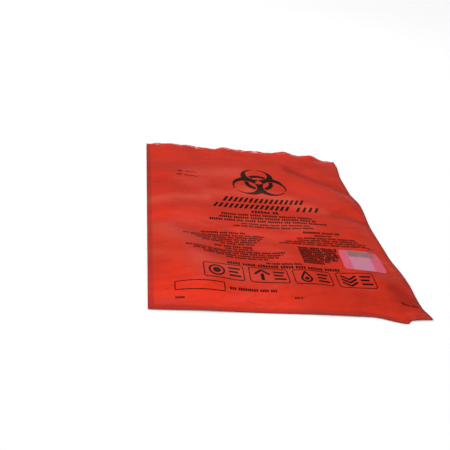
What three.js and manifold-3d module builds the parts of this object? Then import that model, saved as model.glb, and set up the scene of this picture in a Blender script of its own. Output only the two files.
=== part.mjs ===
import * as THREE from "three";
import { mergeVertices } from "three/addons/utils/BufferGeometryUtils.js";
import Module from "manifold-3d";

// A flat waste bag of thin film, lying on its back with its mouth towards +Y.
// Two panels are heat-sealed to each other along both sides and the bottom, and stay open at the mouth.
// Millimetres, +Z up, the back panel on the floor at Z = 0.

// The bag, laid flat
const BAG_WIDTH = 483;
const BAG_LENGTH = 610;
const SIDE_SEAL_WIDTH = 8;
const BOTTOM_SEAL_WIDTH = 9;
// The film of each panel, drawn thicker than the real 0.05 mm so that it is a sound solid
const FILM_THICKNESS = 1;

// How far the panels lie apart, and how soon they part beside a seal
const LOFT = 7.8;
const SIDE_RISE_LENGTH = 58;
const BOTTOM_RISE_LENGTH = 66;
const LIP_LENGTH = 130;

// How far from an edge its curl reaches in, and how far a shifted edge drags the film with it
const CURL_LENGTH = 46;
const DRAG_LENGTH = 170;

// The label stuck on the front panel
const LABEL_WIDTH = 83;
const LABEL_LENGTH = 63;
const LABEL_CORNER_RADIUS = 7;
const LABEL_FROM_RIGHT_EDGE = 72;
const LABEL_FROM_BOTTOM_EDGE = 151;
const LABEL_TILT_DEGREES = -5;
const LABEL_THICKNESS = 0.5;
const LABEL_CLEARANCE = 0.3;

// How finely the film is faceted
const COLUMNS_IN_POCKET = 22;
const ROWS_IN_POCKET = 28;

// Along an edge, a place runs from -0.5 to 0.5, left to right or bottom to mouth.
// Each row is a place and a value in millimetres there.
const RIGHT_EDGE_SHIFT = [
  [-0.5, 8], [-0.45, 1], [-0.3, 0], [-0.2, -4], [-0.05, -5],
  [0.12, 1], [0.21, -4], [0.32, -4], [0.5, 5],
];
const MOUTH_EDGE_SHIFT = [
  [-0.5, 2], [-0.3, -5], [-0.2, -10], [-0.05, -8], [0.1, -9], [0.25, -8], [0.4, -12], [0.5, -10],
];
// Beside the right-hand corner a small pleat lets the bottom edge dip to a point, with a step after it.
const PLEAT_TIP = 0.4;
const PLEAT_STEP = 0.415;
const BOTTOM_EDGE_SHIFT = [
  [-0.5, -1], [-0.3, 0], [0.05, 1], [0.27, 0], [PLEAT_TIP, -13], [PLEAT_STEP, -5], [0.5, -2],
];
const RIGHT_CURL = [
  [-0.5, 1], [-0.43, 1], [-0.35, 5], [-0.22, 1], [-0.05, 1.5], [0.11, 5], [0.22, 1], [0.33, 1.5], [0.44, 4], [0.5, 2],
];
const LEFT_CURL = [[-0.5, 1], [-0.3, 2.5], [0, 1], [0.3, 2], [0.5, 1]];
const BOTTOM_CURL = [
  [-0.5, 1], [-0.35, 3], [-0.1, 1], [0.15, 2.5], [0.3, 2], [PLEAT_TIP, 0], [PLEAT_STEP + 0.03, 3], [0.5, 1],
];
const LIP_RISE = [
  [-0.5, 0], [-0.32, 2], [-0.22, 0], [-0.08, 3.5], [0.05, 2.5], [0.2, 5], [0.32, 5], [0.45, 1], [0.5, 0],
];

// Broad folds of the front panel between two places of the bag: soft ridges, and valleys below zero.
const FOLDS = [
  { from: [-0.36, -0.23], to: [-0.25, -0.34], height: 6.5, halfWidth: 42 },
  { from: [-0.4, 0.24], to: [-0.12, 0.31], height: 2.6, halfWidth: 34 },
  { from: [0.05, 0.2], to: [0.26, 0.07], height: 2.4, halfWidth: 34 },
  { from: [0.04, -0.24], to: [0.14, -0.39], height: 3.6, halfWidth: 28 },
  { from: [0.23, 0.48], to: [0.18, 0.33], height: 2.6, halfWidth: 24 },
  { from: [-0.12, 0.48], to: [-0.15, 0.36], height: 2.2, halfWidth: 25 },
  { from: [0.46, 0.11], to: [0.25, 0.08], height: 2.6, halfWidth: 21 },
  { from: [0.46, -0.35], to: [0.31, -0.33], height: 2.4, halfWidth: 20 },
  { from: [-0.2, -0.02], to: [-0.44, -0.05], height: 2, halfWidth: 30 },
  { from: [-0.355, -0.265], to: [-0.315, -0.39], height: 5.5, halfWidth: 40 },
  { from: [-0.31, -0.1], to: [-0.19, -0.085], height: -2, halfWidth: 40 },
  { from: [0.175, -0.08], to: [0.405, -0.085], height: 4.5, halfWidth: 42 },
  { from: [0.18, -0.365], to: [0.31, -0.385], height: -2.2, halfWidth: 36 },
  { from: [0.405, -0.2], to: [0.47, -0.28], height: 2, halfWidth: 26 },
  { from: [-0.12, 0.16], to: [0.19, 0.138], height: -1.4, halfWidth: 24 },
  { from: [-0.04, 0.28], to: [0.12, 0.27], height: 3, halfWidth: 30 },
];

const FILM_FINISH = new THREE.MeshStandardMaterial({ color: 0xd8301f, roughness: 0.32, metalness: 0 });
const LABEL_FINISH = new THREE.MeshStandardMaterial({ color: 0xe58fb4, roughness: 0.55, metalness: 0 });

const { clamp, degToRad, lerp, smoothstep } = THREE.MathUtils;

// The value of an edge's table at a place, passing smoothly from one row to the next.
function valueAt(table, place) {
  const next = table.findIndex(([there]) => place <= there);
  if (next === 0) return table[0][1];
  if (next < 0) return table[table.length - 1][1];
  const [start, before] = table[next - 1];
  const [end, after] = table[next];
  return lerp(before, after, smoothstep(place, start, end));
}

// 1 at an edge, falling smoothly to 0 a given length away from it.
function fade(distance, length) {
  return 1 - smoothstep(distance, 0, length);
}

// 0 at a seal, rising like the side of a pillow to 1.
function swell(distance, length) {
  return Math.sin((Math.PI / 2) * clamp(distance / length, 0, 1));
}

function foldHeight(fold, place) {
  const size = new THREE.Vector2(BAG_WIDTH, BAG_LENGTH);
  const start = new THREE.Vector2(...fold.from).multiply(size);
  const run = new THREE.Vector2(...fold.to).multiply(size).sub(start);
  const offset = place.clone().sub(start);
  const nearest = run.clone().multiplyScalar(clamp(offset.dot(run) / run.lengthSq(), 0, 1));
  return fold.height * Math.exp(-((offset.distanceTo(nearest) / fold.halfWidth) ** 2));
}

// Where a point of the flat bag comes to lie on the floor plan.
function layDown(x, y) {
  const across = clamp(x / BAG_WIDTH, -0.5, 0.5);
  const up = clamp(y / BAG_LENGTH, -0.5, 0.5);
  const right = valueAt(RIGHT_EDGE_SHIFT, up) * fade(BAG_WIDTH / 2 - x, DRAG_LENGTH);
  const mouth = valueAt(MOUTH_EDGE_SHIFT, across) * fade(BAG_LENGTH / 2 - y, DRAG_LENGTH);
  const bottom = valueAt(BOTTOM_EDGE_SHIFT, across) * fade(BAG_LENGTH / 2 + y, DRAG_LENGTH / 2);
  return new THREE.Vector2(x + right, y + mouth + bottom);
}

// Height of the back panel's underside: flat on the floor, with the edges curling up a little.
function backHeight(x, y) {
  const across = x / BAG_WIDTH;
  const up = y / BAG_LENGTH;
  return (
    valueAt(RIGHT_CURL, up) * fade(BAG_WIDTH / 2 - x, CURL_LENGTH) +
    valueAt(LEFT_CURL, up) * fade(BAG_WIDTH / 2 + x, CURL_LENGTH) +
    valueAt(BOTTOM_CURL, across) * fade(BAG_LENGTH / 2 + y, CURL_LENGTH)
  );
}

// Open space between the panels: nothing in the seals, and a low pillow with folds inside them.
function pocketHeight(x, y) {
  const fromSide = BAG_WIDTH / 2 - SIDE_SEAL_WIDTH - Math.abs(x);
  const fromBottom = BAG_LENGTH / 2 - BOTTOM_SEAL_WIDTH + y;
  if (fromSide <= 0 || fromBottom <= 0) return 0;
  const place = new THREE.Vector2(x, y);
  const folds = FOLDS.reduce((sum, fold) => sum + foldHeight(fold, place), 0);
  const lip = valueAt(LIP_RISE, x / BAG_WIDTH) * fade(BAG_LENGTH / 2 - y, LIP_LENGTH);
  return swell(fromSide, SIDE_RISE_LENGTH) * swell(fromBottom, BOTTOM_RISE_LENGTH) * (LOFT + folds + lip);
}

const frontHeight = (x, y) => backHeight(x, y) + 2 * FILM_THICKNESS + pocketHeight(x, y);

// Evenly spaced places from a first to a last one.
function evenly(first, last, count) {
  return Array.from({ length: count + 1 }, (_, i) => lerp(first, last, i / count));
}

const sideSealLine = BAG_WIDTH / 2 - SIDE_SEAL_WIDTH;
const bottomSealLine = BOTTOM_SEAL_WIDTH - BAG_LENGTH / 2;
const pocketColumns = [
  ...evenly(-sideSealLine, sideSealLine, COLUMNS_IN_POCKET),
  PLEAT_TIP * BAG_WIDTH,
  PLEAT_STEP * BAG_WIDTH,
].sort((a, b) => a - b);
const pocketRows = evenly(bottomSealLine, BAG_LENGTH / 2, ROWS_IN_POCKET);
const filmColumns = [-BAG_WIDTH / 2, ...pocketColumns, BAG_WIDTH / 2];
const filmRows = [-BAG_LENGTH / 2, ...pocketRows];

const wasm = await Module();
wasm.setup();

// A closed geometry as a solid, without the faces that collapsed where two vertices meet.
function solidFrom(geometry) {
  const bare = new THREE.BufferGeometry()
    .setAttribute("position", geometry.getAttribute("position"))
    .setIndex(geometry.getIndex());
  const merged = mergeVertices(bare, 1e-4);
  const faces = [];
  for (let i = 0; i < merged.index.count; i += 3) {
    const face = [0, 1, 2].map((corner) => merged.index.getX(i + corner));
    if (new Set(face).size === 3) faces.push(...face);
  }
  return new wasm.Manifold(
    new wasm.Mesh({
      numProp: 3,
      vertProperties: new Float32Array(merged.getAttribute("position").array),
      triVerts: new Uint32Array(faces),
    }),
  );
}

function meshFrom(name, solid, material) {
  const { numProp, vertProperties, triVerts } = solid.getMesh();
  const positions = new THREE.InterleavedBuffer(vertProperties, numProp);
  const geometry = new THREE.BufferGeometry()
    .setAttribute("position", new THREE.InterleavedBufferAttribute(positions, 3, 0))
    .setIndex(new THREE.BufferAttribute(triVerts, 1));
  const mesh = new THREE.Mesh(geometry.toNonIndexed(), material);
  mesh.name = name;
  return mesh;
}

// A closed sheet between two height functions, over the given columns and rows of the flat bag.
function sheetBetween(lower, upper, columns, rows) {
  const width = columns.length;
  const layer = width * rows.length;
  const positions = [lower, upper].flatMap((height) =>
    rows.flatMap((y) =>
      columns.flatMap((x) => {
        const place = layDown(x, y);
        return [place.x, place.y, height(x, y)];
      }),
    ),
  );
  const faces = [];
  const quad = (a, b, c, d) => faces.push(a, b, c, a, c, d);
  for (let row = 0; row < rows.length - 1; row += 1) {
    for (let column = 0; column < width - 1; column += 1) {
      const corner = row * width + column;
      quad(corner, corner + width, corner + width + 1, corner + 1);
      quad(layer + corner, layer + corner + 1, layer + corner + width + 1, layer + corner + width);
    }
  }
  const rim = [];
  for (let column = 0; column < width - 1; column += 1) rim.push(column);
  for (let row = 0; row < rows.length - 1; row += 1) rim.push(row * width + width - 1);
  for (let column = width - 1; column > 0; column -= 1) rim.push((rows.length - 1) * width + column);
  for (let row = rows.length - 1; row > 0; row -= 1) rim.push(row * width);
  rim.forEach((here, i) => {
    const next = rim[(i + 1) % rim.length];
    quad(here, next, layer + next, layer + here);
  });
  const geometry = new THREE.BufferGeometry()
    .setAttribute("position", new THREE.Float32BufferAttribute(positions, 3))
    .setIndex(faces);
  return solidFrom(geometry);
}

// Both panels in one sheet, less the pocket between them, which runs out past the mouth.
function bagFilm() {
  const body = sheetBetween(backHeight, frontHeight, filmColumns, filmRows);
  const floorOfPocket = (x, y) => backHeight(x, y) + FILM_THICKNESS;
  const roofOfPocket = (x, y) => frontHeight(x, y) - FILM_THICKNESS;
  const pastMouth = BAG_LENGTH / 2 + SIDE_SEAL_WIDTH;
  const pocket = sheetBetween(floorOfPocket, roofOfPocket, pocketColumns, [...pocketRows, pastMouth]);
  return body.subtract(pocket);
}

// A rectangle with round corners, centred on the origin.
function roundedRectangle(width, length, radius) {
  const halfWidth = width / 2;
  const halfLength = length / 2;
  const corners = [
    [halfWidth - radius, halfLength - radius],
    [radius - halfWidth, halfLength - radius],
    [radius - halfWidth, radius - halfLength],
    [halfWidth - radius, radius - halfLength],
  ];
  const shape = new THREE.Shape();
  corners.forEach(([x, y], i) => {
    shape.absarc(x, y, radius, (i * Math.PI) / 2, ((i + 1) * Math.PI) / 2);
  });
  return shape.closePath();
}

// The label follows the film under it, at its clearance, and is cut to its outline.
function indicatorLabel() {
  const underside = (x, y) => frontHeight(x, y) + LABEL_CLEARANCE;
  const topside = (x, y) => underside(x, y) + LABEL_THICKNESS;
  const sheet = sheetBetween(underside, topside, filmColumns, filmRows);
  const outline = roundedRectangle(LABEL_WIDTH, LABEL_LENGTH, LABEL_CORNER_RADIUS);
  const tallerThanBag = BAG_WIDTH / 4;
  const cut = { depth: tallerThanBag, bevelEnabled: false, curveSegments: 5 };
  const cutter = new THREE.ExtrudeGeometry(outline, cut);
  const centre = layDown(
    BAG_WIDTH / 2 - LABEL_FROM_RIGHT_EDGE,
    LABEL_FROM_BOTTOM_EDGE - BAG_LENGTH / 2,
  );
  cutter.rotateZ(degToRad(LABEL_TILT_DEGREES));
  cutter.translate(centre.x, centre.y, 0);
  return sheet.intersect(solidFrom(mergeVertices(bareCopy(cutter))));
}

// A geometry's positions alone, so that its shared vertices can be merged.
function bareCopy(geometry) {
  const flat = geometry.index ? geometry.toNonIndexed() : geometry;
  return new THREE.BufferGeometry().setAttribute("position", flat.getAttribute("position"));
}

const bag = new THREE.Group();
bag.add(meshFrom("bag_film", bagFilm(), FILM_FINISH));
bag.add(meshFrom("indicator_label", indicatorLabel(), LABEL_FINISH));

// The origin is under the middle of the bag as it lies.
const extent = new THREE.Box3().setFromObject(bag);
const middle = extent.getCenter(new THREE.Vector3());
bag.position.set(-middle.x, -middle.y, -extent.min.z);

export default bag;
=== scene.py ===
"""Looks of a flat waste bag of thin red film, lying on a pale floor with its mouth away from the camera.

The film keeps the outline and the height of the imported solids, and adds the creases and ripples of real film.
A label is stuck near one corner, and the print is a thin layer of ink that follows the front panel.
Places on the bag are millimetres on the flat bag, measured from its middle, with +y towards the mouth.
"""

import logging
import math
from dataclasses import dataclass, field
from enum import Enum
from typing import Any, Callable, Sequence

import bpy
import numpy as np
from mathutils import Euler, Matrix, Vector


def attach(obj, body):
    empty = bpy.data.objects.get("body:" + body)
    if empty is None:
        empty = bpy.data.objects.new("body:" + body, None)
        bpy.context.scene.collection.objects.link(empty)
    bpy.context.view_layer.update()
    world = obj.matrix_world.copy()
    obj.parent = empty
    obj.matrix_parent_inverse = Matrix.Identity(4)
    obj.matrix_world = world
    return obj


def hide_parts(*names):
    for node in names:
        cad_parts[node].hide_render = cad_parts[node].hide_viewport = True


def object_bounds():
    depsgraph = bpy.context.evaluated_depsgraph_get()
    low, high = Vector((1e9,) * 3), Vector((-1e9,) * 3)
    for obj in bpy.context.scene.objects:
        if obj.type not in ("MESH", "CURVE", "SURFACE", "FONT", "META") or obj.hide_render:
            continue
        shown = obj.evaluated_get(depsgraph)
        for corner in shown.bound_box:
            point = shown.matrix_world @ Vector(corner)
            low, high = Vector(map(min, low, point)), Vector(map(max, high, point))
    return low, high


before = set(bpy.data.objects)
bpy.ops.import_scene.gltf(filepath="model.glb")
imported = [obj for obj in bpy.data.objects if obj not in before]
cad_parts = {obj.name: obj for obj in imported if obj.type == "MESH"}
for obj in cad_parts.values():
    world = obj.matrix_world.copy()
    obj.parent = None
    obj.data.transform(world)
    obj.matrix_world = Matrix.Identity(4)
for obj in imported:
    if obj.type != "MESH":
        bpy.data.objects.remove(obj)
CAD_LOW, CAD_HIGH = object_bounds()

LOG = logging.getLogger("waste_bag")
BODY = "root"
MM = 0.001
BAG_WIDTH = 483.0
BAG_LENGTH = 610.0

Array = np.ndarray
Place = tuple[float, float]
Colour = tuple[float, float, float]
Point = tuple[float, float, float]
Height = Callable[[Array, Array], Array]
Marks = dict[str, Height]


def smooth(share: Array) -> Array:
    """Pass smoothly from 0 to 1 as the share goes from 0 to 1."""
    held = np.clip(share, 0, 1)
    return held * held * (3 - 2 * held)


def fade(distance: Array, length: float) -> Array:
    """Fall smoothly from 1 at an edge to 0 a given length away from it."""
    return 1 - smooth(distance / length)


def swell(distance: Array, length: float) -> Array:
    """Rise from 0 at a seal to 1, like the side of a pillow."""
    return np.sin(np.pi / 2 * np.clip(distance / length, 0, 1))


@dataclass(frozen=True)
class EdgeTable:
    """A value along an edge, given at places from -0.5 to 0.5, left to right or bottom to mouth."""

    rows: tuple[Place, ...]

    def at(self, place: Array) -> Array:
        """Give the value at each place, passing smoothly from one row to the next.

        Args:
            place: Places along the edge.

        Returns:
            The values there, in millimetres.
        """
        places, values = np.array(self.rows, float).T
        held = np.clip(place, places[0], places[-1])
        before = np.clip(np.searchsorted(places, held) - 1, 0, len(places) - 2)
        share = (held - places[before]) / (places[before + 1] - places[before])
        return values[before] + (values[before + 1] - values[before]) * smooth(share)


@dataclass(frozen=True)
class Fold:
    """A ridge between two places of the flat bag, or a valley where its height is negative."""

    start: Place
    end: Place
    height: float
    half_width: float
    sharp: bool = False
    crest_rounding: float = 0.02

    def rise(self, x: Array, y: Array) -> Array:
        """Give how much the fold lifts the film at each place.

        Args:
            x: Places across the bag.
            y: Places along the bag.

        Returns:
            The lift, in millimetres.
        """
        run_x, run_y = self.end[0] - self.start[0], self.end[1] - self.start[1]
        away_x, away_y = x - self.start[0], y - self.start[1]
        along = np.clip((away_x * run_x + away_y * run_y) / (run_x**2 + run_y**2), 0, 1)
        reach = np.hypot(away_x - along * run_x, away_y - along * run_y) / self.half_width
        if not self.sharp:
            return self.height * np.exp(-(reach**2))
        taper = 1 - (2 * along - 1) ** 4
        return self.height * taper * np.exp(-np.sqrt(reach**2 + self.crest_rounding))


@dataclass(frozen=True)
class Ripple:
    """Seeded unevenness of the film: soft swellings, or thin crests where it is ridged."""

    seed: int
    wavelength: float
    height: float
    ridged: bool = False
    waves: int = 14
    spread: float = 0.7
    least_stretch: float = 0.75
    most_stretch: float = 1.35
    crest_thinness: float = 3.2

    def rise(self, x: Array, y: Array) -> Array:
        """Give how much the unevenness lifts the film at each place.

        Args:
            x: Places across the bag.
            y: Places along the bag.

        Returns:
            The lift, in millimetres.
        """
        draw = np.random.default_rng(self.seed)
        total = np.zeros(np.shape(x))
        for _ in range(self.waves):
            heading = math.pi / 2 + draw.uniform(-self.spread, self.spread)
            turn = math.tau / (self.wavelength * draw.uniform(self.least_stretch, self.most_stretch))
            across, along = math.cos(heading), math.sin(heading)
            total += np.cos(turn * (x * across + y * along) + draw.uniform(0, math.tau))
        total *= math.sqrt(2 / self.waves)
        if self.ridged:
            return self.height * np.exp(-np.abs(total) * self.crest_thinness)
        return self.height * total


def share_fold(start: Place, end: Place, height: float, half_width: float) -> Fold:
    """Make a broad fold from places given as shares of the bag's width and length."""
    start, end = ((across * BAG_WIDTH, up * BAG_LENGTH) for across, up in (start, end))
    return Fold(start, end, height, half_width)


@dataclass
class FilmShape:
    """The bag's two panels as heights over the flat bag, and the way the flat bag lies down."""

    width: float = BAG_WIDTH
    length: float = BAG_LENGTH
    side_seal: float = 8.0
    bottom_seal: float = 9.0
    film: float = 0.2
    gap: float = 0.15
    loft: float = 8.2
    side_rise: float = 58.0
    bottom_rise: float = 66.0
    crease_rise: float = 20.0
    lip_length: float = 130.0
    lip_ripple_length: float = 34.0
    curl_length: float = 46.0
    drag_length: float = 170.0
    edge_steps: int = 401
    right_shift: EdgeTable = EdgeTable((
        (-0.5, 8), (-0.45, 1), (-0.3, 0), (-0.2, -4), (-0.05, -5),
        (0.12, 1), (0.21, -4), (0.32, -4), (0.5, 5),
    ))
    mouth_shift: EdgeTable = EdgeTable((
        (-0.5, 2), (-0.3, -5), (-0.2, -10), (-0.05, -8), (0.1, -9), (0.25, -8), (0.4, -12), (0.5, -10),
    ))
    bottom_shift: EdgeTable = EdgeTable((
        (-0.5, -1), (-0.3, 0), (0.05, 1), (0.27, 0), (0.4, -13), (0.415, -5), (0.5, -2),
    ))
    right_curl: EdgeTable = EdgeTable((
        (-0.5, 1), (-0.43, 1), (-0.35, 5), (-0.22, 1), (-0.05, 1.5), (0.11, 5), (0.22, 1), (0.33, 1.5),
        (0.44, 4), (0.5, 2),
    ))
    left_curl: EdgeTable = EdgeTable(((-0.5, 1), (-0.3, 2.5), (0, 1), (0.3, 2), (0.5, 1)))
    bottom_curl: EdgeTable = EdgeTable((
        (-0.5, 1), (-0.35, 3), (-0.1, 1), (0.15, 2.5), (0.3, 2), (0.4, 0), (0.445, 3), (0.5, 1),
    ))
    lip_rise: EdgeTable = EdgeTable((
        (-0.5, 0), (-0.32, 2), (-0.22, 0), (-0.08, 3.5), (0.05, 2.5),
        (0.2, 5), (0.32, 5), (0.45, 1), (0.5, 0),
    ))
    folds: tuple[Fold, ...] = (
        share_fold((-0.36, -0.23), (-0.25, -0.34), 6.5, 42),
        share_fold((-0.4, 0.24), (-0.12, 0.31), 2.6, 34),
        share_fold((0.05, 0.2), (0.26, 0.07), 2.4, 34),
        share_fold((0.04, -0.24), (0.14, -0.39), 3.6, 28),
        share_fold((0.23, 0.48), (0.18, 0.33), 2.6, 24),
        share_fold((-0.12, 0.48), (-0.15, 0.36), 2.2, 25),
        share_fold((0.46, 0.11), (0.25, 0.08), 2.6, 21),
        share_fold((0.46, -0.35), (0.31, -0.33), 2.4, 20),
        share_fold((-0.2, -0.02), (-0.44, -0.05), 2, 30),
        share_fold((-0.355, -0.265), (-0.315, -0.39), 5.5, 40),
        share_fold((-0.31, -0.1), (-0.19, -0.085), -2, 40),
        share_fold((0.175, -0.08), (0.405, -0.085), 4.5, 42),
        share_fold((0.18, -0.365), (0.31, -0.385), -2.2, 36),
        share_fold((0.405, -0.2), (0.47, -0.28), 2, 26),
        share_fold((-0.12, 0.16), (0.19, 0.138), -1.4, 24),
        share_fold((-0.04, 0.28), (0.12, 0.27), 3, 30),
    )
    creases: tuple[Fold, ...] = (
        Fold((-233, 56), (-70, 60), 0.9, 5, True), Fold((-228, -170), (-157, -187), 0.9, 4, True),
        Fold((-200, -72), (-156, -84), 0.8, 4, True), Fold((106, 212), (238, 123), -2.4, 16),
        Fold((139, 20), (237, -1), -2.2, 14), Fold((229, -241), (208, -286), -2.2, 12),
        Fold((60, 262), (96, 196), 1.1, 5, True), Fold((-150, 286), (-138, 240), 0.9, 5, True),
        Fold((150, 280), (128, 246), 1.0, 5, True), Fold((238, -196), (204, -212), 1.2, 6, True),
        Fold((236, 66), (196, 58), 1.0, 5, True), Fold((-90, -284), (-60, -262), 0.9, 5, True),
        Fold((96, -290), (130, -262), 1.2, 6, True),
    )
    ripples: tuple[Ripple, ...] = (
        Ripple(11, 120, 0.6),
        Ripple(12, 52, 0.2),
        Ripple(13, 24, 0.06, spread=1.2),
        Ripple(14, 110, 0.26, ridged=True, waves=6),
        Ripple(15, 48, 0.12, ridged=True, waves=8, spread=1.0),
    )
    lip_ripples: tuple[Ripple, ...] = (
        Ripple(21, 46, 1.2, waves=9, spread=1.5),
        Ripple(22, 18, 0.4, waves=9, spread=1.5),
    )
    offset: Place = field(init=False, default=(0.0, 0.0))

    def __post_init__(self) -> None:
        """Place the laid-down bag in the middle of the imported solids' box."""
        across = np.linspace(-0.5, 0.5, self.edge_steps) * self.width
        along = np.linspace(-0.5, 0.5, self.edge_steps) * self.length
        side_x, _ = self.lay_down(np.array([-self.width / 2, self.width / 2])[:, None], along[None, :])
        _, end_y = self.lay_down(across[None, :], np.array([-self.length / 2, self.length / 2])[:, None])
        middle = [(low + high) / 2 / MM for low, high in zip(CAD_LOW, CAD_HIGH)]
        self.offset = (
            middle[0] - (side_x.min() + side_x.max()) / 2,
            middle[1] - (end_y.min() + end_y.max()) / 2,
        )

    def lay_down(self, x: Array, y: Array) -> tuple[Array, Array]:
        """Give where places of the flat bag come to lie, around the laid-down bag's own middle.

        Args:
            x: Places across the flat bag.
            y: Places along the flat bag.

        Returns:
            Where they lie across and along, in millimetres.
        """
        across = np.clip(x / self.width, -0.5, 0.5)
        up = np.clip(y / self.length, -0.5, 0.5)
        right = self.right_shift.at(up) * fade(self.width / 2 - x, self.drag_length)
        mouth = self.mouth_shift.at(across) * fade(self.length / 2 - y, self.drag_length)
        bottom = self.bottom_shift.at(across) * fade(self.length / 2 + y, self.drag_length / 2)
        return x + right, y + mouth + bottom

    def back_height(self, x: Array, y: Array) -> Array:
        """Give the back panel's underside: flat on the floor, with edges that curl up a little.

        Args:
            x: Places across the flat bag.
            y: Places along the flat bag.

        Returns:
            The height over the floor, in millimetres.
        """
        across, up = x / self.width, y / self.length
        return (
            self.right_curl.at(up) * fade(self.width / 2 - x, self.curl_length)
            + self.left_curl.at(up) * fade(self.width / 2 + x, self.curl_length)
            + self.bottom_curl.at(across) * fade(self.length / 2 + y, self.curl_length)
        )

    def openness(self, x: Array, y: Array, side_rise: float, bottom_rise: float) -> Array:
        """Give 0 in the seals, rising to 1 where the panels are free of them.

        Args:
            x: Places across the flat bag.
            y: Places along the flat bag.
            side_rise: How far from a side seal the rise ends.
            bottom_rise: How far from the bottom seal it ends.

        Returns:
            The share, from 0 to 1.
        """
        from_side = self.width / 2 - self.side_seal - np.abs(x)
        from_bottom = self.length / 2 - self.bottom_seal + y
        return swell(from_side, side_rise) * swell(from_bottom, bottom_rise)

    def front_height(self, x: Array, y: Array) -> Array:
        """Give the top of the front panel, with its folds, creases and ripples.

        Args:
            x: Places across the flat bag.
            y: Places along the flat bag.

        Returns:
            The height over the floor, in millimetres.
        """
        lip = fade(self.length / 2 - y, self.lip_length)
        soft = sum(fold.rise(x, y) for fold in self.folds) + self.lip_rise.at(x / self.width) * lip
        fine = sum(crease.rise(x, y) for crease in self.creases)
        fine = fine + sum(ripple.rise(x, y) for ripple in self.ripples)
        near_lip = fade(self.length / 2 - y, self.lip_ripple_length)
        fine = fine + near_lip * sum(ripple.rise(x, y) for ripple in self.lip_ripples)
        parted = self.openness(x, y, self.side_rise, self.bottom_rise) * (self.loft + soft)
        parted = parted + self.openness(x, y, self.crease_rise, self.crease_rise) * fine
        return self.back_height(x, y) + 2 * self.film + self.gap + np.maximum(parted, 0)

    def point(self, x: Array, y: Array, height: Array) -> Array:
        """Give points in metres in the frame, from places on the flat bag and heights in millimetres."""
        laid_x, laid_y = self.lay_down(x, y)
        return np.stack([laid_x + self.offset[0], laid_y + self.offset[1], height], -1) * MM


@dataclass(frozen=True)
class FilmTone:
    """Where painted sheen, painted shade and painted light lie on the lying film, as bands on the flat bag."""

    # Painted sheen: whitened bands that stand for the film reflecting a bright space behind it.
    painted_sheen_bands: tuple[Fold, ...] = (
        Fold((-135, 160), (-30, 176), 0.55, 26), Fold((-150, 112), (-118, 118), 0.35, 16),
        Fold((-236, 30), (-120, 48), 0.6, 17), Fold((-112, 66), (-40, 78), 0.45, 18),
        Fold((-20, 86), (70, 60), 0.85, 20), Fold((86, 34), (140, 20), 0.6, 14),
        Fold((-40, -38), (90, -44), 0.6, 16), Fold((-212, -78), (-160, -116), 0.6, 30),
        Fold((-60, -82), (8, -92), 0.35, 18), Fold((-236, -150), (-190, -175), 0.3, 16),
        Fold((-146, -186), (-88, -212), 0.6, 22), Fold((-66, -212), (4, -214), 0.25, 20),
        Fold((190, -196), (225, -206), 0.3, 14),
    )
    # Painted shade: darker bands along the film's valleys and hollows.
    painted_shade_bands: tuple[Fold, ...] = (
        Fold((96, 214), (240, 126), 0.75, 17), Fold((150, 252), (214, 236), 0.3, 20),
        Fold((142, 12), (240, -6), 0.6, 13), Fold((212, 96), (238, 40), 0.4, 16),
        Fold((176, -190), (242, -212), 0.7, 14), Fold((206, -232), (226, -258), 0.9, 20),
        Fold((130, -256), (200, -262), 0.3, 16), Fold((-232, 172), (-60, 190), 0.3, 26),
        Fold((-232, 110), (-110, 100), 0.25, 22), Fold((-236, 12), (-150, 14), 0.15, 9),
        Fold((-224, -64), (-150, -96), 0.3, 20), Fold((-230, -146), (-160, -160), 0.3, 14),
        Fold((40, 240), (120, 236), 0.2, 26),
    )
    # Painted light: brighter bands, mostly towards the front and the left, where the film is painted as more
    # fully lit.
    painted_light_bands: tuple[Fold, ...] = (
        Fold((-226, -262), (-20, -284), 0.9, 34), Fold((-232, -40), (-150, -18), 0.55, 24),
        Fold((-60, -78), (60, -84), 0.5, 16), Fold((-200, -206), (-170, -232), 0.35, 20),
        Fold((100, 120), (150, 90), 0.35, 26),
    )

    @staticmethod
    def _sum(bands: tuple[Fold, ...], x: Array, y: Array) -> Array:
        """Add up bands, up to 1."""
        return np.clip(sum(band.rise(x, y) for band in bands), 0, 1)

    def marks(self) -> Marks:
        """Give the values that film and ink carry for their finish.

        Returns:
            How to work each value out, by its name.
        """
        return {
            "milk": lambda x, y: self._sum(self.painted_sheen_bands, x, y),
            "shade": lambda x, y: self._sum(self.painted_shade_bands, x, y),
            "glow": lambda x, y: self._sum(self.painted_light_bands, x, y),
        }


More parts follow.
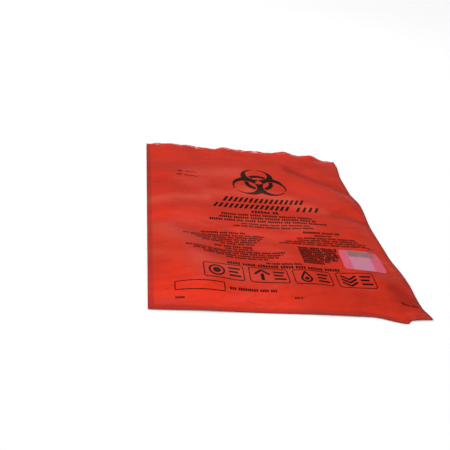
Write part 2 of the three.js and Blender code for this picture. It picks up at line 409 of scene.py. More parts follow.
@dataclass
class FlatFaces:
    """Faces drawn on the flat bag, counter-clockwise from above, to be laid down as a thin sheet."""

    points: list[Place] = field(default_factory=list)
    faces: list[tuple[int, ...]] = field(default_factory=list)
    least_distance: float = 1e-6
    least_share: float = 0.02

    def patch(self, corners: Sequence[Place], cell: float = 3.0) -> None:
        """Fill a four-sided patch with small quads.

        Args:
            corners: The four corners, counter-clockwise from the lower left.
            cell: The longest side of a quad.
        """
        a, b, c, d = (np.array(corner, float) for corner in corners)
        across = max(1, math.ceil(max(np.hypot(*(b - a)), np.hypot(*(c - d))) / cell))
        up = max(1, math.ceil(max(np.hypot(*(d - a)), np.hypot(*(c - b))) / cell))
        first = len(self.points)
        for row in range(up + 1):
            v = row / up
            for column in range(across + 1):
                u = column / across
                place = (a * (1 - u) + b * u) * (1 - v) + (d * (1 - u) + c * u) * v
                self.points.append((float(place[0]), float(place[1])))
        self._quads(first, across, up)

    def grid(self, columns: Array, rows: Array) -> None:
        """Fill a rectangle with quads between given columns and rows.

        Args:
            columns: The places of the upright lines.
            rows: The places of the level lines.
        """
        first = len(self.points)
        self.points += [(float(x), float(y)) for y in rows for x in columns]
        self._quads(first, len(columns) - 1, len(rows) - 1)

    def _quads(self, first: int, across: int, up: int) -> None:
        """Join rows of points into quads.

        Args:
            first: The number of the lower left point.
            across: How many quads a row has.
            up: How many rows there are.
        """
        for row in range(up):
            for column in range(across):
                low = first + row * (across + 1) + column
                self.faces.append((low, low + 1, low + across + 2, low + across + 1))

    def band(self, path: Sequence[Place], width: float, closed: bool = False, cell: float = 3.0) -> None:
        """Draw a line of even width along a path.

        Args:
            path: The line's middle, point by point.
            width: The line's width.
            closed: Whether the last point joins the first.
            cell: The longest step along the line.
        """
        middle = np.array(path, float)
        ends = np.roll(middle, -1, 0) if closed else middle[1:]
        steps = []
        for start, end in zip(middle, ends):
            count = max(1, math.ceil(np.hypot(*(end - start)) / cell))
            steps += [start + (end - start) * k / count for k in range(count)]
        if not closed:
            steps.append(middle[-1])
        line = np.array(steps)
        ahead = np.roll(line, -1, 0) - np.roll(line, 1, 0)
        if not closed:
            ahead[0], ahead[-1] = line[1] - line[0], line[-1] - line[-2]
        side = np.stack([-ahead[:, 1], ahead[:, 0]], 1)
        side *= width / 2 / np.hypot(side[:, 0], side[:, 1])[:, None]
        first, count = len(self.points), len(line)
        self.points += [tuple(map(float, p)) for p in np.concatenate([line - side, line + side])]
        for k in range(count if closed else count - 1):
            after = (k + 1) % count
            self.faces.append((first + k, first + after, first + count + after, first + count + k))

    def region(self, inside: Height, middle: Place, reach: float, cell: float) -> None:
        """Fill the region where a signed distance is negative.

        Args:
            inside: Gives the signed distance at each place.
            middle: The middle of the square that is looked at.
            reach: Half of the square's side.
            cell: The side of a cell.
        """
        columns, rows = (np.arange(place - reach, place + reach + cell, cell) for place in middle)
        distance = inside(columns[None, :], rows[:, None])
        distance = np.where(np.abs(distance) < self.least_distance, self.least_distance, distance)
        known: dict[tuple[int, ...], int] = {}

        def number(key: tuple[int, ...], x: float, y: float) -> int:
            """Give the number of a point, which is added where it is new.

            Args:
                key: The row and column of its corner, or those of both ends of its side.
                x: Its place across the bag.
                y: Its place along the bag.

            Returns:
                The point's number.
            """
            if key not in known:
                known[key] = len(self.points)
                self.points.append((float(x), float(y)))
            return known[key]

        near = np.minimum.reduce([distance[:-1, :-1], distance[1:, :-1], distance[:-1, 1:], distance[1:, 1:]])
        for row, column in np.argwhere(near < 0).tolist():
            square = [(row, column), (row, column + 1), (row + 1, column + 1), (row + 1, column)]
            for triangle in (square[:3], [square[0], *square[2:]]):
                outline: list[int] = []
                for one, other in zip(triangle, triangle[1:] + triangle[:1]):
                    if distance[one] < 0:
                        outline.append(number(one, columns[one[1]], rows[one[0]]))
                    if (distance[one] < 0) != (distance[other] < 0):
                        low, high = min(one, other), max(one, other)
                        share = distance[low] / (distance[low] - distance[high])
                        share = min(max(share, self.least_share), 1 - self.least_share)
                        x = columns[low[1]] + (columns[high[1]] - columns[low[1]]) * share
                        y = rows[low[0]] + (rows[high[0]] - rows[low[0]]) * share
                        outline.append(number(low + high, x, y))
                if len(outline) > 2:
                    self.faces.append(tuple(outline))


def placed(name: str, data: bpy.types.ID) -> bpy.types.Object:
    """Put a mesh, a light or a camera into the scene.

    Args:
        name: The object's name.
        data: What it shows.

    Returns:
        The new object.
    """
    made = bpy.data.objects.new(name, data)
    bpy.context.scene.collection.objects.link(made)
    return made


def thin_sheet(
    name: str,
    shape: FilmShape,
    drawn: FlatFaces,
    top: Height,
    thickness: float,
    marks: Marks,
) -> bpy.types.Object:
    """Make a closed thin sheet from faces drawn on the flat bag.

    Args:
        name: The piece's name.
        shape: The bag that the faces are drawn on.
        drawn: The faces.
        top: Gives the height of the sheet's upper side, in millimetres.
        thickness: The sheet's thickness, in millimetres.
        marks: The further values that the finish reads at each point, by name.

    Returns:
        The new object, in the frame, with its places on the flat bag kept for its finish.
    """
    flat = np.array(drawn.points, float)
    x, y = flat[:, 0], flat[:, 1]
    upper_height = top(x, y)
    upper, lower = shape.point(x, y, upper_height), shape.point(x, y, upper_height - thickness)
    count = len(flat)
    sides = {side: True for face in drawn.faces for side in zip(face, face[1:] + face[:1])}
    rim = [(one, other) for one, other in sides if (other, one) not in sides]
    faces = list(drawn.faces)
    faces += [tuple(count + corner for corner in reversed(face)) for face in drawn.faces]
    faces += [(one, one + count, other + count, other) for one, other in rim]
    mesh = bpy.data.meshes.new(name)
    mesh.from_pydata(np.concatenate([upper, lower]).tolist(), [], faces)
    mesh.polygons.foreach_set("use_smooth", [True] * (len(faces) - len(rim)) + [False] * len(rim))
    places = np.concatenate([flat, flat]) * MM
    kept = mesh.attributes.new("flat", "FLOAT_VECTOR", "POINT")
    kept.data.foreach_set("vector", np.column_stack([places, np.zeros(2 * count)]).ravel())
    for mark, give in marks.items():
        values = np.tile(give(x, y), 2)
        mesh.attributes.new(mark, "FLOAT", "POINT").data.foreach_set("value", values)
    mesh.validate()
    mesh.update()
    return placed(name, mesh)


class Signal:
    """A shader socket with arithmetic: an expression on signals adds Math nodes."""

    def __init__(self, shader: "Shader", socket: bpy.types.NodeSocket) -> None:
        """Wrap a socket of a shader."""
        self.shader = shader
        self.socket = socket

    def _math(self, operation: str, *values: Any) -> "Signal":
        """Add a Math node on the given values."""
        return self.shader.add("ShaderNodeMath", {"operation": operation}, dict(enumerate(values)))

    def __add__(self, other: Any) -> "Signal":
        """Add."""
        return self._math("ADD", self, other)

    def __radd__(self, other: Any) -> "Signal":
        """Add to a number."""
        return self._math("ADD", other, self)

    def __sub__(self, other: Any) -> "Signal":
        """Subtract."""
        return self._math("SUBTRACT", self, other)

    def __rsub__(self, other: Any) -> "Signal":
        """Subtract from a number."""
        return self._math("SUBTRACT", other, self)

    def __mul__(self, other: Any) -> "Signal":
        """Multiply."""
        return self._math("MULTIPLY", self, other)

    def __rmul__(self, other: Any) -> "Signal":
        """Multiply a number."""
        return self._math("MULTIPLY", other, self)

    def between(self, low: float, high: float) -> "Signal":
        """Pass smoothly from 0 at a low value to 1 at a high one."""
        settings = {"interpolation_type": "SMOOTHSTEP"}
        return self.shader.add("ShaderNodeMapRange", settings, {0: self, 1: low, 2: high, 3: 0.0, 4: 1.0})

    def spots(self) -> "Signal":
        """Pick out the high spots of noise."""
        return self.between(0.5, 0.8)

    def swing(self) -> "Signal":
        """Give noise as a swing to both sides of 0."""
        return self - 0.5

    def held(self) -> "Signal":
        """Keep the value from 0 to 1."""
        return self.shader.add("ShaderNodeClamp", {}, {0: self, 1: 0.0, 2: 1.0})


class Shader:
    """The node tree of a material, and the ways its nodes are made."""

    def __init__(self, name: str) -> None:
        """Start an empty material.

        Args:
            name: The material's name.
        """
        self.material = bpy.data.materials.new(name)
        self.material.use_nodes = True
        self.tree = self.material.node_tree
        self.tree.nodes.clear()

    def add(
        self, kind: str, settings: dict[str, Any], sockets: dict[int | str, Any], output: int | str = 0
    ) -> Signal:
        """Add a node.

        Args:
            kind: The node's type.
            settings: Its properties, which are set first.
            sockets: Values or signals for its inputs, by name or number.
            output: The output that is handed back.

        Returns:
            The chosen output as a signal.
        """
        node = self.tree.nodes.new(kind)
        for name, value in settings.items():
            setattr(node, name, value)
        for key, value in sockets.items():
            if isinstance(value, Signal):
                self.tree.links.new(value.socket, node.inputs[key])
            else:
                node.inputs[key].default_value = (*value, 1.0) if self._is_colour(node, key, value) else value
        return Signal(self, node.outputs[output])

    @staticmethod
    def _is_colour(node: bpy.types.Node, key: int | str, value: Any) -> bool:
        """Tell whether three numbers are meant for a colour socket."""
        return node.inputs[key].type == "RGBA" and len(value) == 3

    def mark(self, name: str, output: str = "Fac") -> Signal:
        """Read a value that the mesh carries."""
        return self.add("ShaderNodeAttribute", {"attribute_name": name}, {}, output)

    def layered(self, body: Colour, *layers: tuple[Signal, Colour]) -> Signal:
        """Lay colours over each other.

        Args:
            body: The lowest colour.
            layers: How much of each further colour shows, and the colour.

        Returns:
            The mixed colour.
        """
        colour: Any = body
        for share, tone in layers:
            colour = self.add("ShaderNodeMix", {"data_type": "RGBA"}, {0: share, 6: colour, 7: tone}, 2)
        return colour

    def scaled(self, vector: Signal, factors: Point) -> Signal:
        """Stretch a vector along its axes."""
        return self.add("ShaderNodeVectorMath", {"operation": "MULTIPLY"}, {0: vector, 1: factors})

    def bump(self, height: Signal, distance: float) -> Signal:
        """Add a bump from a height."""
        return self.add("ShaderNodeBump", {}, {"Height": height, "Distance": distance, "Strength": 1.0})

    def finish(self, sockets: dict[int | str, Any]) -> bpy.types.Material:
        """Add the surface shader.

        Args:
            sockets: Values or signals for its inputs.

        Returns:
            The finished material.
        """
        surface = self.add("ShaderNodeBsdfPrincipled", {}, sockets)
        output = self.tree.nodes.new("ShaderNodeOutputMaterial")
        self.tree.links.new(surface.socket, output.inputs["Surface"])
        return self.material


@dataclass(frozen=True)
class Grain:
    """Soft noise over the flat bag, which may be squeezed along its axes."""

    scale: float
    detail: float = 2.0
    roughness: float = 0.5
    squeeze: Point = (1.0, 1.0, 1.0)

    def on(self, shader: Shader, output: str = "Fac") -> Signal:
        """Add the noise to a material.

        Args:
            shader: The material's shader.
            output: Which of the noise's outputs is meant.

        Returns:
            The noise.
        """
        vector = shader.scaled(shader.mark("flat", "Vector"), self.squeeze)
        sockets = {"Vector": vector, "Scale": self.scale, "Detail": self.detail, "Roughness": self.roughness}
        return shader.add("ShaderNodeTexNoise", {}, sockets, output)


@dataclass(frozen=True)
class FilmSheenAndCrinkle:
    """The painted sheen bands and the fine creases that the film and the ink on it share."""

    drift: Grain = Grain(14.0, 4.0, 0.6, (1.0, 2.6, 1.0))
    least_painted_sheen: float = 0.5
    sheen_spot_share: float = 0.12
    crinkle: Grain = Grain(30.0, 5.0, 0.62, (0.6, 1.9, 1.0))
    crinkle_share: float = 0.85
    wobble: Grain = Grain(22.0)
    wobble_reach: float = 0.03
    crack_scale: float = 17.0
    crack_width: float = 0.09
    crack_share: float = 0.07

    def milk(self, shader: Shader) -> Signal:
        """Give how much painted sheen the film gets at each place, a whitening that stands for a reflection.

        Args:
            shader: The shader of a material.

        Returns:
            The share, from 0 to 1.
        """
        # Painted sheen: the listed bands, stirred by noise, and a few loose sheen spots.
        drift = self.drift.on(shader)
        banded = shader.mark("milk") * (self.least_painted_sheen + drift)
        return (banded + drift.spots() * self.sheen_spot_share).held()

    def relief(self, shader: Shader) -> Signal:
        """Give the height of the film's fine creases.

        Args:
            shader: The shader of a material.

        Returns:
            The height, from 0 to 1.
        """
        soft = self.crinkle.on(shader)
        reach = (self.wobble_reach, self.wobble_reach, 0.0)
        away = shader.scaled(self.wobble.on(shader, "Color"), reach)
        flat = shader.mark("flat", "Vector")
        bent = shader.add("ShaderNodeVectorMath", {"operation": "ADD"}, {0: flat, 1: away})
        sockets = {"Vector": bent, "Scale": self.crack_scale}
        cracks = shader.add("ShaderNodeTexVoronoi", {"feature": "DISTANCE_TO_EDGE"}, sockets)
        thin = 1 - cracks.between(0.0, self.crack_width)
        return soft * self.crinkle_share + thin * self.crack_share


@dataclass(frozen=True)
class FilmFinish:
    """Glossy translucent-looking red film, paler and pinker where only one layer shows, with painted light,
    painted shade, painted sheen and painted glints in its colour.
    """

    body: Colour = (0.50, 0.0205, 0.0055)
    # Painted sheen colour: the whitened red of the painted reflection.
    painted_sheen_tone: Colour = (0.56, 0.056, 0.032)
    # Painted shade colour, also laid lightly over the seals.
    shade_and_seal_tone: Colour = (0.23, 0.007, 0.003)
    # Painted light colour.
    painted_light_tone: Colour = (0.68, 0.026, 0.008)
    cut: Colour = (0.14, 0.005, 0.007)
    lip: Colour = (0.66, 0.030, 0.034)
    # Painted glint colour: pale pink highlights along the mouth's lip.
    painted_glint: Colour = (0.95, 0.50, 0.46)
    patches: Grain = Grain(9.0, 3.0)
    streaks: Grain = Grain(26.0, 4.0, 0.65, (0.5, 2.2, 1.0))
    streak_range: Place = (0.42, 0.75)
    specks: Grain = Grain(90.0, 3.0, 0.6, (1.0, 2.0, 1.0))
    glint_spots: Grain = Grain(45.0, 3.0, 0.6, (1.0, 3.0, 1.0))
    glint_spot_range: Place = (0.5, 0.6)
    shade_share: float = 0.75
    patch_share: float = 0.12
    streak_share: float = 0.3
    speck_share: float = 0.6
    lip_share: float = 0.7
    painted_glint_share: float = 0.9
    seal_share: float = 0.2
    rim_share: float = 0.7
    roughness: float = 0.36
    patch_roughness: float = 0.12
    painted_sheen_roughness: float = 0.12
    lip_gloss: float = 0.2
    rim_roughness: float = 0.4
    refraction: float = 1.25
    relief_height: float = 0.0015
    weld_scale: float = 260.0
    weld_share: float = 0.35
    sheen_and_crinkle: FilmSheenAndCrinkle = FilmSheenAndCrinkle()

    def material(self) -> bpy.types.Material:
        """Build the film's material.

        Returns:
            The material.
        """
        shader = Shader("red_film")
        milk = self.sheen_and_crinkle.milk(shader)
        patches = self.patches.on(shader)
        # Painted shade: the listed dark bands, random darker patches and a fine mottle of streaks and specks,
        # which is partly random tone and partly painted shade of fine crinkles.
        streaks = self.streaks.on(shader).between(*self.streak_range)
        mottle = streaks * self.streak_share + self.specks.on(shader).swing() * self.speck_share
        shade = shader.mark("shade") * self.shade_share + patches.spots() * self.patch_share + mottle
        # Painted glints: pale spots along the lip that stand for small creases catching the light.
        glint_spots = self.glint_spots.on(shader).between(*self.glint_spot_range)
        lip, seal, rim = (shader.mark(name) for name in ("lip", "seal", "rim"))
        colour = shader.layered(
            self.body,
            # Painted light over the body colour.
            (shader.mark("glow"), self.painted_light_tone),
            # Painted shade over the body colour.
            (shade.held(), self.shade_and_seal_tone),
            # Painted sheen over the body colour.
            (milk, self.painted_sheen_tone),
            (lip * self.lip_share, self.lip),
            # Painted glints along the lip.
            (lip * glint_spots * self.painted_glint_share, self.painted_glint),
            (seal * self.seal_share, self.shade_and_seal_tone),
            (rim * self.rim_share, self.cut),
        )
        sockets = {"Vector": shader.mark("flat", "Vector"), "Scale": self.weld_scale, "Distortion": 0.0}
        weld = shader.add("ShaderNodeTexWave", {"bands_direction": "DIAGONAL"}, sockets)
        relief = self.sheen_and_crinkle.relief(shader) + weld * seal * self.weld_share
        rough = self.roughness + patches.swing() * self.patch_roughness + milk * self.painted_sheen_roughness
        return shader.finish({
            "Base Color": colour,
            "Roughness": rough - lip * self.lip_gloss + rim * self.rim_roughness,
            "IOR": self.refraction,
            "Normal": shader.bump(relief, self.relief_height),
        })


@dataclass(frozen=True)
class InkFinish:
    """Black ink that turns brown-grey where the film shines over it."""

    body: Colour = (0.012, 0.002, 0.001)
    # Painted sheen over the ink: brown-grey where the film's painted reflection lies.
    sheen_over_ink: Colour = (0.12, 0.040, 0.028)
    wear: Grain = Grain(160.0)
    wear_share: float = 0.1
    painted_sheen_share: float = 0.4
    painted_sheen_roughness: float = 0.1
    roughness: float = 0.42
    refraction: float = 1.24
    shine: float = 0.25
    relief_height: float = 0.0011
    sheen_and_crinkle: FilmSheenAndCrinkle = FilmSheenAndCrinkle()

    def material(self) -> bpy.types.Material:
        """Build the ink's material.

        Returns:
            The material.
        """
        shader = Shader("print_ink")
        milk = self.sheen_and_crinkle.milk(shader)
        share = (milk * self.painted_sheen_share + self.wear.on(shader).spots() * self.wear_share).held()
        return shader.finish({
            "Base Color": shader.layered(self.body, (share, self.sheen_over_ink)),
            "Roughness": self.roughness + milk * self.painted_sheen_roughness,
            "IOR": self.refraction,
            "Specular IOR Level": self.shine,
            "Normal": shader.bump(self.sheen_and_crinkle.relief(shader), self.relief_height),
        })


@dataclass(frozen=True)
class LabelFinish:
    """A pink see-through-looking label with a paler lilac field."""

    edge: Colour = (0.56, 0.072, 0.128)
    field_tone: Colour = (0.46, 0.16, 0.24)
    stripe: Colour = (0.24, 0.095, 0.10)
    fleck: Colour = (0.56, 0.2, 0.25)
    fleck_share: float = 0.25
    mottle: Grain = Grain(60.0, 3.0)
    mottle_roughness: float = 0.1
    roughness: float = 0.42
    relief_height: float = 0.0003

    def material(self) -> bpy.types.Material:
        """Build the label's material.

        Returns:
            The material.
        """
        shader = Shader("label_film")
        mottle = self.mottle.on(shader)
        return shader.finish({
            "Base Color": shader.layered(
                self.edge,
                (shader.mark("field"), self.field_tone),
                (shader.mark("band"), self.stripe),
                (mottle.spots() * self.fleck_share, self.fleck),
            ),
            "Roughness": self.roughness + mottle.swing() * self.mottle_roughness,
            "Normal": shader.bump(mottle, self.relief_height),
        })


@dataclass(frozen=True)
class FloorFinish:
    """A plain near-white floor."""

    tone: float = 0.86
    roughness: float = 0.9

    def material(self) -> bpy.types.Material:
        """Build the floor's material."""
        shader = Shader("studio_floor")
        return shader.finish({"Base Color": (self.tone, self.tone, self.tone), "Roughness": self.roughness})


def dress(piece: bpy.types.Object, material: bpy.types.Material) -> None:
    """Give a piece its material and slot, and let it ride on the bag's body.

    Args:
        piece: The new piece.
        material: Its material.
    """
    piece.data.materials.append(material)
    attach(piece, BODY)
    LOG.info("%s: %d faces", piece.name, len(piece.data.polygons))


@dataclass
class Panels:
    """The front and the back panel, sealed along the sides and the bottom and open at the mouth."""

    shape: FilmShape
    front_cells: tuple[int, int] = (178, 226)
    back_cells: tuple[int, int] = (76, 96)
    seal_cells: int = 5
    rim: float = 1.4
    right_rim: float = 1.7
    lip_reach: float = 12.0
    slack: float = 0.1

    def _lines(self, half: float, low_seal: float, high_seal: float, count: int) -> Array:
        """Space grid lines evenly between the seals, and a few across each seal.

        Args:
            half: Half of the bag's size that way.
            low_seal: The seal's width at the negative end.
            high_seal: The seal's width at the positive end, 0 at the mouth.
            count: How many cells lie between the seals.

        Returns:
            The lines' places.
        """
        lines = [np.linspace(-half, -half + low_seal, self.seal_cells + 1)[:-1]]
        lines.append(np.linspace(-half + low_seal, half - high_seal, count + 1))
        if high_seal:
            lines.append(np.linspace(half - high_seal, half, self.seal_cells + 1)[1:])
        return np.concatenate(lines)

    def _back_top(self, x: Array, y: Array) -> Array:
        """Give the height of the back panel's upper side."""
        return self.shape.back_height(x, y) + self.shape.film

    def _seal(self, x: Array, y: Array) -> Array:
        """Mark the seals.

        Args:
            x: Places across the flat bag.
            y: Places along the flat bag.

        Returns:
            1 in a seal and 0 elsewhere.
        """
        shape = self.shape
        side = np.abs(x) >= shape.width / 2 - shape.side_seal - self.slack
        bottom = y <= -shape.length / 2 + shape.bottom_seal + self.slack
        return (side | bottom).astype(float)

    def _rim(self, x: Array, y: Array) -> Array:
        """Mark the outer edge of the seals, where the cut film looks darkest.

        Args:
            x: Places across the flat bag.
            y: Places along the flat bag.

        Returns:
            1 at the edge and 0 elsewhere.
        """
        from_side = self.shape.width / 2 - np.abs(x)
        from_bottom = self.shape.length / 2 + y
        width = np.where(x > 0, self.right_rim, self.rim)
        return (np.minimum(from_side, from_bottom) < width).astype(float)

    def _lip(self, x: Array, y: Array) -> Array:
        """Give 1 at the mouth's lip, falling to 0 behind it."""
        return fade(self.shape.length / 2 - y, self.lip_reach)

    def build(self) -> list[bpy.types.Object]:
        """Build both panels.

        Returns:
            The front and the back panel.
        """
        shape = self.shape
        marks = {"seal": self._seal, "rim": self._rim, "lip": self._lip, **FilmTone().marks()}
        panels = {
            "front_panel": (self.front_cells, shape.front_height),
            "back_panel": (self.back_cells, self._back_top),
        }
        pieces = []
        for name, ((columns, rows), top) in panels.items():
            drawn = FlatFaces()
            drawn.grid(
                self._lines(shape.width / 2, shape.side_seal, shape.side_seal, columns),
                self._lines(shape.length / 2, shape.bottom_seal, 0, rows),
            )
            pieces.append(thin_sheet(name, shape, drawn, top, shape.film, marks))
        return pieces

    def dress(self, pieces: list[bpy.types.Object]) -> None:
        """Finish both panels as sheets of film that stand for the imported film.

        Args:
            pieces: The panels.
        """
        film = FilmFinish().material()
        for piece in pieces:
            dress(piece, film)
            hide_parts("bag_film")


@dataclass
class Label:
    """The rounded label stuck on the front panel near its right-hand corner."""

    shape: FilmShape
    width: float = 83.0
    length: float = 63.0
    corner: float = 7.0
    centre: Place = (169.5, -154.0)
    tilt: float = -5.0
    lift: float = 0.35
    thickness: float = 0.12
    cell: float = 1.5
    band_place: float = 21.0
    band_half: float = 6.5
    margin_left: float = 16.0
    margin_right: float = 21.0
    margin_blur: float = 4.0
    band_margin_right: float = 9.0
    band_blur: float = 6.0

    def _own(self, x: Array, y: Array) -> tuple[Array, Array]:
        """Turn places on the bag into the label's own.

        Args:
            x: Places across the flat bag.
            y: Places along the flat bag.

        Returns:
            Places across and up the label, from its middle.
        """
        turn = math.radians(self.tilt)
        away_x, away_y = x - self.centre[0], y - self.centre[1]
        return (
            away_x * math.cos(turn) + away_y * math.sin(turn),
            -away_x * math.sin(turn) + away_y * math.cos(turn),
        )

    def _outline(self, x: Array, y: Array) -> Array:
        """Give the signed distance to the label's rounded outline.

        Args:
            x: Places across the flat bag.
            y: Places along the flat bag.

        Returns:
            The distance, negative inside.
        """
        own_x, own_y = self._own(x, y)
        over_x = np.abs(own_x) - self.width / 2 + self.corner
        over_y = np.abs(own_y) - self.length / 2 + self.corner
        outside = np.hypot(np.maximum(over_x, 0), np.maximum(over_y, 0))
        return outside + np.minimum(np.maximum(over_x, over_y), 0) - self.corner

    def _top(self, x: Array, y: Array) -> Array:
        """Give the height of the label's upper side."""
        return self.shape.front_height(x, y) + self.lift + self.thickness

    def _between_margins(self, own_x: Array, margin_right: float) -> Array:
        """Mark what lies between the left margin and a margin on the right.

        Args:
            own_x: Places across the label.
            margin_right: The width of the right margin.

        Returns:
            1 between the margins, passing softly to 0 outside.
        """
        left = smooth((own_x + self.width / 2 - self.margin_left) / self.margin_blur)
        right = smooth((self.width / 2 - margin_right - own_x) / self.margin_blur)
        return left * right

    def _field(self, x: Array, y: Array) -> Array:
        """Give 1 in the paler field and 0 in the margins."""
        own_x, _ = self._own(x, y)
        return self._between_margins(own_x, self.margin_right)

    def _band(self, x: Array, y: Array) -> Array:
        """Mark the greyer band across the field.

        Args:
            x: Places across the flat bag.
            y: Places along the flat bag.

        Returns:
            1 in the band and 0 elsewhere.
        """
        own_x, own_y = self._own(x, y)
        from_band = np.abs(own_y - self.band_place) - self.band_half
        return self._between_margins(own_x, self.band_margin_right) * fade(from_band, self.band_blur)

    def build(self) -> bpy.types.Object:
        """Build the label.

        Returns:
            The label.
        """
        drawn = FlatFaces()
        drawn.region(self._outline, self.centre, math.hypot(self.width, self.length) / 2, self.cell)
        marks = {"field": self._field, "band": self._band}
        return thin_sheet("stuck_label", self.shape, drawn, self._top, self.thickness, marks)

    def dress(self, piece: bpy.types.Object) -> None:
        """Finish the label."""
        dress(piece, LabelFinish().material())
        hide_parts("indicator_label")


@dataclass
class HazardSign:
    """The common three-horned biological hazard sign, drawn from circles in its usual units."""

    centre: Place = (12.4, 128.4)
    unit: float = 2.544
    horn_radius: float = 15.0
    horn_reach: float = 11.0
    cut_radius: float = 10.25
    cut_reach: float = 15.0
    hole_radius: float = 3.0
    slit_width: float = 1.0
    slit_end: float = 6.0
    tip_gap: float = 4.0
    ring_middle: float = 11.2
    ring_width: float = 3.9
    ring_gap: float = 1.0
    cell: float = 0.8

    def outline(self, x: Array, y: Array) -> Array:
        """Give the signed distance to the sign, in its own units.

        Args:
            x: Places across the flat bag.
            y: Places along the flat bag.

        Returns:
            Negative numbers inside the sign.
        """
        own_x, own_y = (x - self.centre[0]) / self.unit, (y - self.centre[1]) / self.unit
        from_middle = np.hypot(own_x, own_y)
        horns = np.full(from_middle.shape, np.inf)
        cuts = np.full(from_middle.shape, -np.inf)
        windows = np.full(from_middle.shape, np.inf)
        for degrees in (90, 210, 330):
            way_x, way_y = math.cos(math.radians(degrees)), math.sin(math.radians(degrees))
            along = own_x * way_x + own_y * way_y
            beside = np.abs(own_x * way_y - own_y * way_x)
            horns = np.minimum(horns, np.hypot(along - self.horn_reach, beside) - self.horn_radius)
            cut = self.cut_radius - np.hypot(along - self.cut_reach, beside)
            slit = np.minimum(np.minimum(self.slit_width / 2 - beside, along), self.slit_end - along)
            tips = np.minimum(self.tip_gap / 2 - beside, along - self.cut_reach)
            cuts = np.maximum.reduce([cuts, cut, slit, tips])
            windows = np.minimum(windows, self.ring_gap - cut)
        cuts = np.maximum(cuts, self.hole_radius - from_middle)
        ring = np.abs(from_middle - self.ring_middle) - self.ring_width / 2
        return np.minimum(np.maximum(horns, cuts), np.maximum(ring, windows))

    def draw(self) -> FlatFaces:
        """Draw the sign.

        Returns:
            Its faces.
        """
        drawn = FlatFaces()
        reach = (self.horn_reach + self.horn_radius) * self.unit + self.cell
        drawn.region(self.outline, self.centre, reach, self.cell)
        return drawn


@dataclass(frozen=True)
class Row:
    """One row of plain print, from a left end to a right end, at a height on the bag."""

    left: float
    right: float
    y: float
    height: float
    fall: float = 0.0

    def place(self, reach: float) -> Place:
        """Give the place at a reach from the row's left end."""
        return self.left + reach, self.y - self.fall * reach / self.length

    @property
    def length(self) -> float:
        """Give the row's length."""
        return self.right - self.left


@dataclass
class PlainRows:
    """Rows of short upright ticks in word-long groups, which stand for small print and say nothing."""

    rows: tuple[Row, ...]
    seed: int
    tick_share: float = 0.7
    word_ticks: tuple[int, int] = (3, 10)
    pitch_share: float = 0.62
    space_share: float = 0.7
    least_height: float = 0.8

    def draw(self) -> FlatFaces:
        """Draw the rows.

        Returns:
            The ticks' faces.
        """
        drawn, random = FlatFaces(), np.random.default_rng(self.seed)
        for row in self.rows:
            pitch = row.height * self.pitch_share
            reach = 0.0
            while reach < row.length - pitch:
                for _ in range(int(random.integers(*self.word_ticks))):
                    if reach + pitch > row.length:
                        break
                    self._tick(drawn, row, reach, pitch, random.uniform(self.least_height, 1.0))
                    reach += pitch
                reach += pitch * self.space_share
        return drawn

    def _tick(self, drawn: FlatFaces, row: Row, reach: float, pitch: float, tall: float) -> None:
        """Draw one plain tick at a reach along its row.

        Args:
            drawn: The faces drawn so far.
            row: The tick's row.
            reach: How far along the row it stands.
            pitch: The space that a tick takes.
            tall: Its height as a share of the row's height.
        """
        x, y = row.place(reach)
        low, wide = y - row.height / 2, pitch * self.tick_share
        top = low + row.height * tall
        drawn.patch([(x, low), (x + wide, low), (x + wide, top), (x, top)])


@dataclass
class StripedHeading:
    """A heading's place, filled with plain slanting hazard stripes."""

    rows: tuple[Row, ...]
    pitch: float = 10.5
    stripe_share: float = 0.56
    slant: float = 0.5

    def draw(self) -> FlatFaces:
        """Draw the stripes.

        Returns:
            Their faces.
        """
        drawn = FlatFaces()
        for row in self.rows:
            count = max(1, round((row.length - row.height * self.slant) / self.pitch))
            for k in range(count):
                x, y = row.place(row.length * k / count)
                half, wide, lean = row.height / 2, self.pitch * self.stripe_share, row.height * self.slant
                drawn.patch([
                    (x, y - half), (x + wide, y - half), (x + wide + lean, y + half), (x + lean, y + half),
                ])
        return drawn


class Motif(Enum):
    """The plain motif inside a picture frame."""

    RINGS = "rings"
    ARROW = "arrow"
    DROP = "drop"
    CHEVRONS = "chevrons"


